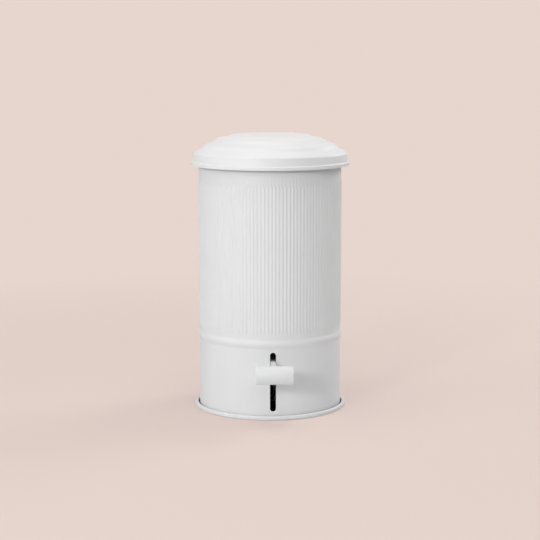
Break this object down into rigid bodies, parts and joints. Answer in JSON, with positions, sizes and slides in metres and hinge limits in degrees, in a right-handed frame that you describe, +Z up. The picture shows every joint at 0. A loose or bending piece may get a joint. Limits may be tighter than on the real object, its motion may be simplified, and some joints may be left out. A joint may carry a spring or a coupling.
{
  "type": "pedal bin",
  "caption": "Round white steel pedal bin with a ribbed barrel, stepped overhanging lid, front foot pedal, push-rod linkage and a lift-out inner bucket.",
  "frame": {"origin": "on the barrel's axis, at the floor under the rubber foot ring", "axes": "+Z up along the barrel's axis, -Y toward the pedal, +X to the right of someone who faces the pedal"},
  "size_m": [0.234, 0.2835, 0.4033],
  "materials": {
    "white_paint": "satin white powder coat",
    "zinc_steel": "dull zinc plate",
    "black_rubber": "matt",
    "black_plastic": "fine-grained matt",
    "white_plastic": "smooth, colour-matched to the paint"
  },
  "bodies": {
    "housing": {"barrel_shell": "white_paint", "base_pan": "white_paint", "foot_ring": "black_rubber", "base_rivets": "zinc_steel", "bucket_shelf": "zinc_steel", "fulcrum_bracket": "zinc_steel", "fulcrum_rivets": "zinc_steel", "fulcrum_pin": "zinc_steel", "fulcrum_clip": "zinc_steel", "rod_guide_low": "zinc_steel", "rod_guide_high": "zinc_steel", "hinge_bracket": "zinc_steel", "hinge_bracket_rivets": "zinc_steel", "hinge_pin": "zinc_steel", "hinge_clip": "zinc_steel", "rim_bumpers": "black_rubber"},
    "lid": {"lid_shell": "white_paint", "lid_hinge_arm": "zinc_steel", "lid_arm_rivets": "white_paint"},
    "pedal": {"pedal_lever": "white_paint", "pedal_tube": "white_paint", "pedal_cap_left": "white_plastic", "pedal_cap_right": "white_plastic", "pedal_axle": "zinc_steel", "fulcrum_washers": "zinc_steel"},
    "rod": {"push_rod": "zinc_steel", "rod_caps": "zinc_steel"},
    "bucket": {"bucket_pail": "black_plastic"},
    "bail": {"bucket_bail": "zinc_steel", "bail_grip": "black_plastic"}
  },
  "joints": [
    {"name": "lid_hinge", "type": "hinge", "parent": "housing", "child": "lid", "pos_m": [0, 0.112, 0.353], "axis": [-1, 0, 0], "range_deg": [0, 69.5]},
    {"name": "pedal_pivot", "type": "hinge", "parent": "housing", "child": "pedal", "pos_m": [0, 0.015, 0.0755], "axis": [1, 0, 0], "range_deg": [0, 18]},
    {"name": "rod_slide", "type": "slide", "parent": "housing", "child": "rod", "axis": [0, 0, 1], "range_m": [0, 0.025]},
    {"name": "bucket_lift", "type": "slide", "parent": "housing", "child": "bucket", "axis": [0, 0, 1], "range_m": [0, 0.02]},
    {"name": "bail_swing", "type": "hinge", "parent": "bucket", "child": "bail", "pos_m": [0, -0.008, 0.3308], "axis": [-1, 0, 0], "range_deg": [0, 20]}
  ],
  "couplings": [
    {"joint": "pedal_pivot", "follows": "lid_hinge", "ratio": 0.25853},
    {"joint": "rod_slide", "follows": "lid_hinge", "m_per_rad": 0.020594}
  ]
}
